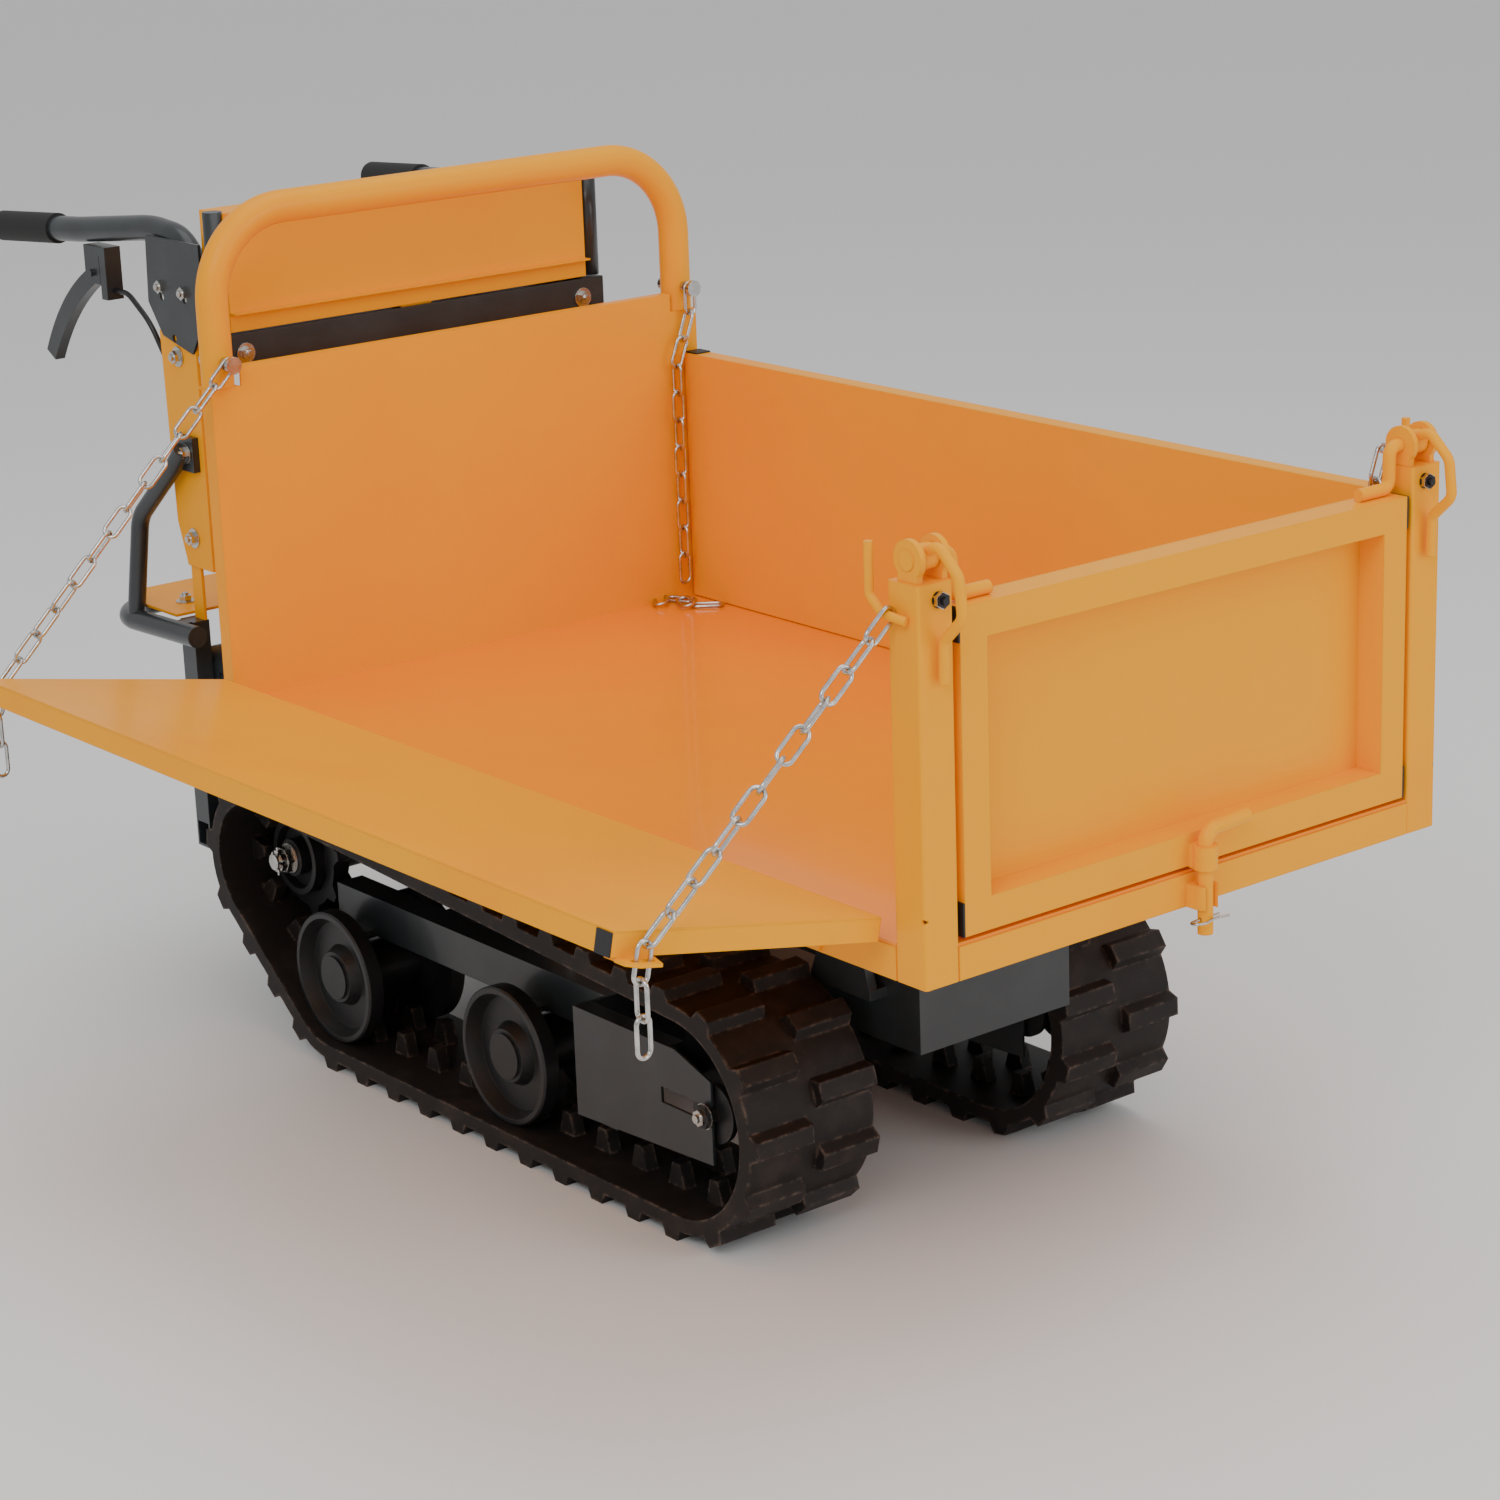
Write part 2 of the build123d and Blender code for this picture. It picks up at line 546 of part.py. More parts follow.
def lug_row(inner, outer, foot, crest, phase):
    """Trapezoid lugs round the track, between two heights above its inner face."""
    with BuildSketch() as row:
        for k in range(LINKS):
            u = ((k + phase) / LINKS) % 1.0
            point, run = CORDS @ u, CORDS % u
            spot = Location(Plane((point.X, point.Y, 0), x_dir=(run.X, run.Y, 0), z_dir=(0, 0, 1)))
            with Locations(spot):
                with BuildLine(mode=Mode.PRIVATE) as lug:
                    Polyline((-foot, NEUTRAL - inner), (foot, NEUTRAL - inner),
                             (crest, NEUTRAL - outer), (-crest, NEUTRAL - outer), close=True)
                add(make_face(lug.edges(), mode=Mode.PRIVATE))
    return row.sketch


def write_tracks():
    band_in, band_out = belt_line(0), belt_line(BAND)
    half = TRACK_W / 2
    with BuildPart() as track:
        with BuildSketch(side(-TRACK_Y + half)):
            make_face(band_out.edges())
            make_face(band_in.edges(), mode=Mode.SUBTRACT)
        extrude(amount=TRACK_W)
        for y0, y1, phase in ((-half, -7, 0.0), (7, half, 0.5)):
            with BuildSketch(side(-TRACK_Y + y1)):
                add(lug_row(BAND - 1, BAND + TREAD, 14, 9, phase))
            extrude(amount=y1 - y0)
        for s in (-1, 1):
            edges = sorted((s * GUIDE_IN, s * GUIDE_OUT))
            with BuildSketch(side(-TRACK_Y + edges[1])):
                add(lug_row(1, -GUIDE, 13, 6, 0.25))
            extrude(amount=edges[1] - edges[0])
    write(track.part, "right_track")
    write(mirror(track.part, about=MIRROR), "left_track")


# ---- wheels -------------------------------------------------------------
def spin(profile, x, z):
    """Solid of revolution about a Y axis; profile points are (y, radius)."""
    with BuildPart() as wheel:
        with BuildSketch(Plane(at(x, 0, z), x_dir=(0, 1, 0), z_dir=(1, 0, 0))):
            with BuildLine():
                Polyline(*profile, close=True)
            make_face()
        revolve(axis=Axis(at(x, 0, z), (0, 1, 0)))
    return wheel.part


def roller(x):
    """Double-flanged track roller with dished faces and hub caps."""
    y, r = -TRACK_Y, ROLLER_R - GAP
    bore = 10 + FIT
    half = [(62, r - 2), (62, r - 7), (46, r - 13), (46, 34), (58, 28), (58, 24), (61, 24), (61, 0)]
    outer = [(0, 30), (36, 30), (42, 46), (44, r - 8), (44, r), (60, r)]
    right = [(y + a, b) for a, b in outer + half]
    left = [(y - a, b) for a, b in (outer + half)[::-1]]
    with BuildPart() as wheel:
        add(spin(left[:-1] + right, x, ROLLER_Z))
        drum(x, ROLLER_Z, bore, (y - 56, y + 56), mode=Mode.SUBTRACT)
        drum(x, ROLLER_Z, 12, (y - 36, y + 36), mode=Mode.SUBTRACT)
    return wheel.part


def sprocket():
    """Toothed drive wheel with five windows, hub and a toothed rim."""
    x, z, y = SPROCKET_BACK, SPROCKET_Z, -TRACK_Y
    tip = SPROCKET_WRAP - 0.8
    with BuildPart() as wheel:
        with BuildSketch(side(y + 9)):
            with Locations((back(x), z)):
                Circle(tip - 11)
                with PolarLocations(0, SPROCKET_TEETH, start_angle=11):
                    with Locations((tip - 8, 0)):
                        Trapezoid(26, 16, 62, rotation=-90)
                with PolarLocations(36, 5, start_angle=36):
                    SlotCenterPoint((0, 0), (0, 9), 15, mode=Mode.SUBTRACT)
        extrude(amount=18)
        drum(x, z, 43, (y - 22, y - 9))
        drum(x, z, 43, (y + 9, y + 22))
        drum(x, z, 36, (y - 22.5, y - 11), mode=Mode.SUBTRACT)
        drum(x, z, 36, (y + 11, y + 22.5), mode=Mode.SUBTRACT)
        drum(x, z, 21, (y - 26, y + 30))
        drum(x, z, 12, (y - 27, y + 31), mode=Mode.SUBTRACT)
    return wheel.part


def axle_nut():
    """Washer, castle nut and cotter pin on the outer end of the drive axle."""
    x, z, y = SPROCKET_BACK, SPROCKET_Z, -TRACK_Y - 26
    with BuildPart() as nut:
        drum(x, z, 17, (y - 3, y))
        with BuildSketch(side(y - 3)):
            with Locations((back(x), z)):
                RegularPolygon(15, 6)
        extrude(amount=9)
        drum(x, z, 12.5, (y - 19, y - 12))
        for angle in (0, 60, 120):
            with Locations(Location((back(x), MID + y - 17, z), (0, angle, 0))):
                Box(28, 5, 3.6, mode=Mode.SUBTRACT)
        drum(x, z, 9, (y - 23, y - 19))
        with Locations((back(x), MID + y - 17, z)):
            Cylinder(1.5, 32)
        drum(x, z, 9.2, (y - 3, y + 50))
    return nut.part


def write_wheels():
    names = ("front", "rear")
    for name, x in zip(names, ROLLER_BACKS):
        right = roller(x)
        write(right, f"right_{name}_roller")
        write(mirror(right, about=MIRROR), f"left_{name}_roller")
    with BuildPart() as idler:
        y = -TRACK_Y
        add(spin([(y - 12, 0), (y - 12, 30), (y - 6, 34), (y - 6, 42), (y - 12, 45),
                  (y - 12, IDLER_R - 3), (y - 9, IDLER_R), (y + 9, IDLER_R), (y + 12, IDLER_R - 3),
                  (y + 12, 45), (y + 6, 42), (y + 6, 34), (y + 12, 30), (y + 12, 0)],
                 IDLER_BACK, IDLER_Z))
        drum(IDLER_BACK, IDLER_Z, 15, (y - 40, y + 40))
        drum(IDLER_BACK, IDLER_Z, 8 + FIT, (y - 41, y + 41), mode=Mode.SUBTRACT)
    write(idler.part, "right_idler")
    write(mirror(idler.part, about=MIRROR), "left_idler")
    right = sprocket()
    write(right, "right_sprocket")
    write(mirror(right, about=MIRROR), "left_sprocket")
    nut = axle_nut()
    write(nut, "right_axle_nut")
    write(mirror(nut, about=MIRROR), "left_axle_nut")


# ---- undercarriage ------------------------------------------------------
BEAM_Z = (142.0, 186.0)


def write_undercarriage():
    with BuildPart() as beam:
        # box beam inside the track, ending in the tension box
        tube_run((581, 1084), (-TRACK_Y - 16, -TRACK_Y + 16), BEAM_Z, 3)
        for x in ROLLER_BACKS:
            for s in (-1, 1):
                # hangers holding the ends of the roller axles, inside the flanges
                edges = (-TRACK_Y + s * 33.5, -TRACK_Y + s * 27.5)
                block((x - 16, x + 16), edges, (ROLLER_Z + 34, BEAM_Z[0] + 2))
                block((x - 16, x + 16), (-TRACK_Y + s * 33.5, -TRACK_Y + s * 16),
                      (BEAM_Z[0], BEAM_Z[0] + 6))
    write(Compound(both(beam.part)), "track_beams")

    outline = [(581, 80), (581, 194), (420, 194), (366, 176), (366, 92)]
    with BuildPart() as box:
        for y0, y1 in ((-TRACK_Y - 68, -TRACK_Y - 65), (-TRACK_Y + 65, -TRACK_Y + 68)):
            with BuildSketch(side(y1)):
                with BuildLine():
                    Polyline(*[(back(x), z) for x, z in outline], close=True)
                make_face()
                with BuildLine():
                    Line((back(448), 134), (back(374), 134))
            extrude(amount=y1 - y0)
            block((IDLER_BACK - 6, IDLER_BACK + 72), (y0 - 1, y1 + 1),
                  (IDLER_Z - 8.1, IDLER_Z + 8.1), mode=Mode.SUBTRACT)
        # rear wall and the flanges folded inwards
        block((576, 581), (-TRACK_Y - 65, -TRACK_Y + 65), (96, 194))
        for y0, y1 in ((-TRACK_Y - 65, -TRACK_Y - 48), (-TRACK_Y + 48, -TRACK_Y + 65)):
            block((430, 576), (y0, y1), (191, 194))
            block((520, 576), (y0, y1), (80, 83))
        block((540, 576), (-TRACK_Y - 65, -TRACK_Y - 36), (100, 103))
        block((540, 576), (-TRACK_Y + 36, -TRACK_Y + 65), (100, 103))
    write(Compound(both(box.part)), "tension_boxes")

    with BuildPart() as axles:
        for x in ROLLER_BACKS:
            drum(x, ROLLER_Z, 10, (-TRACK_Y - 55, -TRACK_Y + 55))
        drum(IDLER_BACK, IDLER_Z, 8, (-TRACK_Y - 72, -TRACK_Y + 72))
        drum(IDLER_BACK, IDLER_Z, 30, (-TRACK_Y - 62, -TRACK_Y - 56))
        drum(IDLER_BACK, IDLER_Z, 30, (-TRACK_Y + 56, -TRACK_Y + 62))
        for s in (-1, 1):
            with BuildSketch(side(-TRACK_Y + s * 75 + 5)):
                with Locations((back(IDLER_BACK), IDLER_Z)):
                    RegularPolygon(12, 6)
            extrude(amount=7 if s < 0 else 8)
    write(Compound(both(axles.part)), "roller_axles")

    with BuildPart() as chassis_frame:
        inner = TRACK_Y - 16
        for x in (600, 880):
            tube_run((x, x + 44), (-inner, inner), BEAM_Z, 3, "y")
        for s in (-1, 1):
            tube_run((300, 1390), (s * 60, s * 96), (186, 226), 3)
        # pedestal the tray tips on
        block((262, 400), (-96, 96), (186, 190))
        block((262, 266), (-96, 96), (190, 262))
        block((266, 400), (-96, -92), (190, 262))
        block((266, 400), (92, 96), (190, 262))
        for s in (-1, 1):
            for y0, y1 in ((84, 94), (106, 116)):
                with BuildSketch(side(max(s * y0, s * y1))):
                    with BuildLine():
                        Polyline((back(TIP_BACK - 40), 240), (back(TIP_BACK - 16), TIP_Z),
                                 (back(TIP_BACK - 11), TIP_Z + 13), (back(TIP_BACK + 11), TIP_Z + 13),
                                 (back(TIP_BACK + 16), TIP_Z), (back(TIP_BACK + 46), 240), close=True)
                    make_face()
                extrude(amount=10)
            block((TIP_BACK - 40, TIP_BACK + 46), (s * 96, s * 116), (232, 242))
            drum(TIP_BACK, TIP_Z, TIP_R, (s * 84, s * 116))
        # deck under the engine and the rest the tray lies on
        block((1010, 1390), (-110, 110), (226, 231))
        block((1110, 1212), (-59, 59), (225, 232), mode=Mode.SUBTRACT)
        drum(SPROCKET_BACK, SPROCKET_Z, 27, (-98, 98), mode=Mode.SUBTRACT)
        block((1076, 1092), (-60, 60), (231, 370))
        block((1064, 1104), (-60, 60), (370, TRAY_BOTTOM - GAP))
        # outriggers and the posts the handle frame stands on
        for s in (-1, 1):
            tube_run((1270, 1298), (s * 96, s * 260), (190, 222), 3, "y")
            block((1270, 1298), (s * 240, s * 260), (222, 452))
    write(chassis_frame.part, "chassis_frame")

    with BuildPart() as gearbox:
        block((1105, 1225), (-58, 58), (150, 185.7))
        drum(SPROCKET_BACK, SPROCKET_Z, 46, (-58, 58))
        block((1105, 1225), (-58, 58), (185.7, 225.7))
        for s in (-1, 1):
            drum(SPROCKET_BACK, SPROCKET_Z, 26, (s * 58, s * (TRACK_Y - 34)))
        drum(SPROCKET_BACK, SPROCKET_Z, 12, (-TRACK_Y + 26, TRACK_Y - 26), mode=Mode.SUBTRACT)
    write(gearbox.part, "gearbox")


# ---- engine -------------------------------------------------------------
CRANK_BACK, CRANK_Z = 1279.0, 336.0


def write_engine():
    with BuildPart() as engine_block:
        block((1215, 1350), (-90, 80), (231, 250))
        drum(CRANK_BACK, CRANK_Z - 12, 68, (-90, 60))
        block((1222, 1336), (-90, 60), (250, 330))
        drum(CRANK_BACK, CRANK_Z, 76, (-178, -90))
        drum(CRANK_BACK, CRANK_Z, 11, (60, 118))
        with Locations(Location(at(1206, -15, 344), (0, 40, 0))):
            Box(50, 120, 60)
    write(engine_block.part, "engine_block")

    with BuildPart() as recoil_cover:
        drum(CRANK_BACK, CRANK_Z, 80, (-236, -178))
        fillet(recoil_cover.faces().sort_by(Axis.Y)[0].edges(), 14)
        drum(CRANK_BACK, CRANK_Z, 77, (-230, -177), mode=Mode.SUBTRACT)
        with BuildSketch(side(-220)):
            with Locations((back(CRANK_BACK), CRANK_Z)):
                for ring, count in ((30, 10), (43, 16), (56, 20)):
                    with PolarLocations(ring, count):
                        RectangleRounded(7, 6, 1.5)
        extrude(amount=30, mode=Mode.SUBTRACT)
        with Locations(at(CRANK_BACK + 60, -215, CRANK_Z + 42)):
            Cylinder(11, 26, rotation=(0, 40, 0))
    write(recoil_cover.part, "recoil_cover")

    with BuildPart() as fuel_tank:
        block((1195, 1345), (-70, 90), (392, 440))
        fillet(fuel_tank.edges().filter_by(Axis.Z), 18)
        fillet(fuel_tank.faces().sort_by(Axis.Z)[-1].edges(), 8)
        with Locations(at(1240, 50, 443)):
            Cylinder(20, 8)
    write(fuel_tank.part, "fuel_tank")


# ---- handle frame -------------------------------------------------------
COLUMN_Y = UPRIGHT_Y


def write_handles():
    # folded channel on each side, leaning back a little towards its top
    outline = [(1238, 512), (1290, 512), (1306, 560), (1312, 770), (1238, 770)]
    with BuildPart() as column:
        with BuildSketch(side(-COLUMN_Y + 1.5)):
            with BuildLine():
                Polyline(*[(back(x), z) for x, z in outline], close=True)
            make_face()
            with Locations((back(1272), 545), (back(1276), 745), (back(1268), 640)):
                Circle(4.2, mode=Mode.SUBTRACT)
        extrude(amount=3)
        block((1238, 1241), (-COLUMN_Y + 1.5, -COLUMN_Y + 30), (512, 770))
        block((1241, 1284), (-COLUMN_Y + 1.5, -COLUMN_Y + 30), (512, 515))
        # foot standing on the chassis
        block((1270, 1290), (-COLUMN_Y + 1.5, -COLUMN_Y + 5), (452, 560))
    write(Compound(both(column.part)), "columns")

    plate = [(1212, 790), (1212, 872), (1322, 872), (1326, 800), (1300, 766), (1240, 752)]
    with BuildPart() as bar_brackets:
        with BuildSketch(side(-COLUMN_Y - 1.5)):
            with BuildLine():
                Polyline(*[(back(x), z) for x, z in plate], close=True)
            make_face()
            with Locations((back(1248), 810), (back(1296), 808), (back(1276), 745 + 20)):
                Circle(4.2, mode=Mode.SUBTRACT)
        extrude(amount=3)
    write(Compound(both(bar_brackets.part)), "bar_brackets")

    bar_y = -COLUMN_Y + 16
    bar = bent_rod([at(1252, bar_y, 772), at(1252, bar_y, 868), at(1340, bar_y, 876),
                    at(1480, bar_y - 12, 862), at(1640, bar_y - 20, 852)], BAR_R, [52, 200, 200],
                   BAR_R - 2)
    write(Compound(both(bar)), "handlebars")

    direction = Vector(*at(1640, bar_y - 20, 852)) - Vector(*at(1480, bar_y - 12, 862))
    with BuildPart() as grip:
        end = Vector(*at(1640, bar_y - 20, 852))
        with BuildSketch(Plane(end + direction.normalized() * 4, z_dir=-direction)):
            Circle(BAR_R + 3)
        extrude(amount=118)
        with BuildSketch(Plane(end, z_dir=-direction)):
            Circle(BAR_R)
        extrude(amount=130, mode=Mode.SUBTRACT)
    write(Compound(both(grip.part)), "grips")

    with BuildPart() as crossbar:
        tube_run((CROSS_BACK, CROSS_BACK + 24), (-240, 252), (746, 778), 2, "y")
        for s in (-1, 1):
            block((CROSS_BACK + 24, 1238), (s * (COLUMN_Y - 30), s * (COLUMN_Y - 1.5)), (746, 750))
            with Locations(Location(at(CROSS_BACK + 12, s * 222, 757), (0, 90, 0))):
                Cylinder(4.1, 40, mode=Mode.SUBTRACT)
    write(crossbar.part, "crossbar")

    with BuildPart() as console:
        block((CROSS_BACK + 2, CROSS_BACK + 4), (-236, 230), (780, 906))
        block((CROSS_BACK + 4, CROSS_BACK + 50), (-236, 230), (904, 906))
        block((CROSS_BACK + 4, CROSS_BACK + 22), (-236, 230), (780, 782))
        block((CROSS_BACK - 8, CROSS_BACK + 2), (-236, 230), (799, 801))
        for s in (-236, 228):
            block((CROSS_BACK + 4, CROSS_BACK + 50), (s, s + 2), (850, 904))
        block((CROSS_BACK + 4, CROSS_BACK + 22), (-20, 20), (778, 780))
    write(console.part, "console")

    guard_y = 274.0
    loop = bent_rod([at(1238, -guard_y, 444), at(1430, -guard_y, 438), at(1430, guard_y, 438),
                     at(1238, guard_y, 444)], 12, 60)
    strut = bent_rod([at(1262, -COLUMN_Y - 14, 646), at(1282, -COLUMN_Y - 16, 624),
                      at(1352, -COLUMN_Y - 22, 560), at(1372, -COLUMN_Y - 26, 446)], 10, [12, 40])
    with BuildPart() as struts:
        add(strut)
        block((1248, 1282), (-COLUMN_Y - 9.5, -COLUMN_Y - 1.5), (622, 660))
    with BuildPart() as engine_guard:
        add(loop)
        add(both(struts.part))
        # tabs from the loop to the posts of the handle frame
        for s in (-1, 1):
            block((1274, 1294), (s * 260, s * 270), (430, 452))
    write(engine_guard.part, "engine_guard")

    with BuildPart() as guard_plate:
        block((1302, 1436), (-262, 262), (453, 456))
        fillet(guard_plate.edges().filter_by(Axis.Z).sort_by(Axis.X)[:2], 40)
    write(guard_plate.part, "guard_plate")

    # brake lever mounts and levers under the handlebars
    pivot = (1448.0, 818.0)
    lever_y = bar_y - 9
    with BuildPart() as lever:
        drum(pivot[0], pivot[1], 9, (lever_y - 6, lever_y + 6))
        with BuildSketch(side(lever_y + 6)):
            with BuildLine():
                Spline((back(1452), 826), (back(1500), 800), (back(1578), 716))
                Line((back(1578), 716), (back(1560), 706))
                Spline((back(1560), 706), (back(1486), 784), (back(1440), 810))
                Line((back(1440), 810), (back(1452), 826))
            make_face()
        extrude(amount=12)
        drum(pivot[0], pivot[1], 4 + FIT, (lever_y - 7, lever_y + 7), mode=Mode.SUBTRACT)
    write(lever.part, "right_brake_lever")
    write(mirror(lever.part, about=MIRROR), "left_brake_lever")

    with BuildPart() as mount:
        for y in ((lever_y - 10, lever_y - 6.3), (lever_y + 6.3, lever_y + 10)):
            block((1432, 1464), y, (806, 848))
        block((1420, 1464), (lever_y - 10, lever_y + 10), (838, 848))
        block((1418, 1431), (lever_y - 10, lever_y + 10), (790, 848))
        drum(pivot[0], pivot[1], 4, (lever_y - 14, lever_y + 14))
    write(Compound(both(mount.part)), "lever_mounts")

    cable = bent_rod([at(1417.5, lever_y, 800), at(1390, lever_y, 800), at(1350, lever_y + 2, 772),
                      at(1322, lever_y + 16, 700), at(1322, lever_y + 30, 600),
                      at(1322, lever_y + 40, 500)], 3.0, [30, 50, 80, 90])
    write(Compound(both(cable)), "brake_cables")

    with BuildPart() as catch:
        add(bent_rod([at(1192, -258 + 14, 396), at(1160, -258 + 14, 380), at(1140, -258 + 14, 384)],
                     4, 10))
        add(bent_rod([at(1192, -258 + 14, 396), at(1214, -258 + 14, 500), at(1214, -258 + 14, 640),
                      at(1228, -258 + 14, 720)], 4, [40, 30]))
    write(catch.part, "tip_catch")


write_tray()
write_sides()
write_tailgate()
write_chains()
write_tracks()
write_wheels()
write_undercarriage()
write_engine()
write_handles()
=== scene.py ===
"""Looks of the tracked carrier: paint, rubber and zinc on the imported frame, studio floor and camera."""

import json
import math

import bmesh
import bpy
from mathutils import Matrix, Vector


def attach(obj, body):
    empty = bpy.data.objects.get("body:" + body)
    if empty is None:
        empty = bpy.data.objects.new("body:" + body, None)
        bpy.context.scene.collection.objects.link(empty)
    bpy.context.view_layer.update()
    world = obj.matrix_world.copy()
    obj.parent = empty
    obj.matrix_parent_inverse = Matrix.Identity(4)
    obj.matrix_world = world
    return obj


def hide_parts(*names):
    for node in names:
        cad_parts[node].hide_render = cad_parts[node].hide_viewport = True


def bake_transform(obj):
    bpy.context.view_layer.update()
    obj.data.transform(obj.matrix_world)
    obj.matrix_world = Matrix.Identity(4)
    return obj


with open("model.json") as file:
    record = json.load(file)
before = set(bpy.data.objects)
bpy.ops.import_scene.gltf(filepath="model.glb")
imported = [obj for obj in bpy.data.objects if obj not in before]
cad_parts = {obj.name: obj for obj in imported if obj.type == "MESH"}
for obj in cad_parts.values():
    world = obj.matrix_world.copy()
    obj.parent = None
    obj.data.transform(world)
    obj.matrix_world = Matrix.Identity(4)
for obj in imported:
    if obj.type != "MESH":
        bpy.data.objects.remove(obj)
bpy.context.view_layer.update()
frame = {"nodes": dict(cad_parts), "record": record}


# ---- materials ----------------------------------------------------------
COAT_ROUGHNESS = 0.06
GRAIN_DEPTH = 0.0006  # metres


def noise(nodes, links, scale, detail=4.0, rough=0.6):
    coords = nodes.new("ShaderNodeTexCoord")
    tex = nodes.new("ShaderNodeTexNoise")
    tex.inputs["Scale"].default_value = scale
    tex.inputs["Detail"].default_value = detail
    tex.inputs["Roughness"].default_value = rough
    links.new(coords.outputs["Object"], tex.inputs["Vector"])
    return tex.outputs["Fac"]


def ramp(nodes, links, source, low, high):
    """Source stretched so that low gives 0 and high gives 1."""
    node = nodes.new("ShaderNodeMapRange")
    node.inputs["From Min"].default_value = low
    node.inputs["From Max"].default_value = high
    links.new(source, node.inputs["Value"])
    return node.outputs["Result"]


def mix(nodes, links, factor, first, second):
    """Colour between two others; first is a colour or the socket that gives one."""
    node = nodes.new("ShaderNodeMix")
    node.data_type = "RGBA"
    if isinstance(first, tuple):
        node.inputs["A"].default_value = (*first, 1)
    else:
        links.new(first, node.inputs["A"])
    node.inputs["B"].default_value = (*second, 1)
    links.new(factor, node.inputs["Factor"])
    return node.outputs["Result"]


def rounded_normal(nodes, radius, samples):
    bevel = nodes.new("ShaderNodeBevel")
    bevel.samples = samples
    bevel.inputs["Radius"].default_value = radius
    return bevel.outputs["Normal"]


def math_node(nodes, links, kind, operation, first, second):
    node = nodes.new(kind)
    node.operation = operation
    links.new(first, node.inputs[0])
    links.new(second, node.inputs[1])
    return node.outputs["Value"]


def worn_edges(nodes, links, wear):
    """Streaks along the edges, which are where the rounded normal leaves the true one."""
    true = nodes.new("ShaderNodeNewGeometry")
    dot = math_node(nodes, links, "ShaderNodeVectorMath", "DOT_PRODUCT",
                    rounded_normal(nodes, wear, 6), true.outputs["Normal"])
    edges = ramp(nodes, links, dot, 0.985, 0.86)
    streaks = ramp(nodes, links, noise(nodes, links, 70.0, 8.0, 0.75), 0.47, 0.62)
    return math_node(nodes, links, "ShaderNodeMath", "MULTIPLY", edges, streaks)


def surface(name, base, rough, metal=0.0, coat=0.0, second=None, scale=14.0, span=(0.45, 0.7),
            grain=0.0, grain_scale=260.0, rough_span=0.0, edge=0.0, spec=0.5, worn=None, wear=0.004):
    """Principled surface: a base colour with a second one in patches, fine grain, soft and worn edges."""
    material = bpy.data.materials.new(name)
    material.use_nodes = True
    nodes, links = material.node_tree.nodes, material.node_tree.links
    shader = nodes["Principled BSDF"]
    for key, value in (("Base Color", (*base, 1)), ("Roughness", rough), ("Metallic", metal),
                       ("Coat Weight", coat), ("Coat Roughness", COAT_ROUGHNESS),
                       ("Specular IOR Level", spec)):
        shader.inputs[key].default_value = value
    if second:
        patch = ramp(nodes, links, noise(nodes, links, scale), *span)
        colour = mix(nodes, links, patch, base, second)
        if worn:
            colour = mix(nodes, links, worn_edges(nodes, links, wear), colour, worn)
        links.new(colour, shader.inputs["Base Color"])
    if rough_span:
        wobble = ramp(nodes, links, noise(nodes, links, scale * 1.7), 0.3, 0.7)
        scaled = nodes.new("ShaderNodeMapRange")
        scaled.inputs["To Min"].default_value = rough - rough_span / 2
        scaled.inputs["To Max"].default_value = rough + rough_span / 2
        links.new(wobble, scaled.inputs["Value"])
        links.new(scaled.outputs["Result"], shader.inputs["Roughness"])
    normal = rounded_normal(nodes, edge, 4) if edge else None
    if grain:
        bump = nodes.new("ShaderNodeBump")
        bump.inputs["Strength"].default_value = grain
        bump.inputs["Distance"].default_value = GRAIN_DEPTH
        links.new(noise(nodes, links, grain_scale, 6.0), bump.inputs["Height"])
        if normal:
            links.new(normal, bump.inputs["Normal"])
        normal = bump.outputs["Normal"]
    if normal:
        links.new(normal, shader.inputs["Normal"])
    return material


surfaces = {name: surface(name, *look, **extra) for name, look, extra in (
    ("orange_paint", ((1.0, 0.40, 0.0), 0.36),
     dict(coat=0.03, second=(1.0, 0.36, 0.0), scale=3.0, grain=0.04, grain_scale=90.0,
          rough_span=0.08, edge=0.0012, spec=0.12)),
    # the tray floor's paint is a darker copy of the orange paint: the darker orange is painted shade of
    # the bed, with a glossier coat
    ("shaded_floor_paint", ((1.0, 0.30, 0.0), 0.2),
     dict(coat=0.22, second=(1.0, 0.26, 0.0), scale=2.0, rough_span=0.05, edge=0.0008, spec=0.15)),
    ("black_paint", ((0.020, 0.025, 0.028), 0.34),
     dict(coat=0.2, grain=0.10, grain_scale=420.0, second=(0.030, 0.037, 0.041), edge=0.001)),
    ("zinc", ((0.62, 0.61, 0.58), 0.24),
     dict(metal=1.0, second=(0.42, 0.41, 0.39), scale=60.0, rough_span=0.12, grain=0.06,
          edge=0.0004)),
    ("rubber_track", ((0.014, 0.011, 0.010), 0.62),
     dict(second=(0.030, 0.022, 0.018), scale=24.0, span=(0.5, 0.72), grain=0.4, grain_scale=300.0,
          edge=0.0018, worn=(0.16, 0.11, 0.085), wear=0.006, spec=0.3)),
    ("black_plastic", ((0.012, 0.012, 0.014), 0.5), dict(grain=0.2, edge=0.0012)),
    ("cast_black", ((0.012, 0.012, 0.013), 0.42),
     dict(grain=0.25, grain_scale=380.0, second=(0.024, 0.018, 0.015), scale=30.0, span=(0.6, 0.8),
          edge=0.001)),
    ("engine_metal", ((0.03, 0.031, 0.034), 0.42), dict(grain=0.25, edge=0.001)),
    ("grip_rubber", ((0.012, 0.012, 0.012), 0.7), dict(grain=0.3)),
    ("cable_sheath", ((0.010, 0.010, 0.010), 0.35), dict(grain=0.05)),
    ("dark_bolt", ((0.05, 0.05, 0.055), 0.35), dict(metal=0.9, grain=0.05)),
)}
slots = {s["node"]: s["material_slot"] for s in frame["record"]["subparts"]}
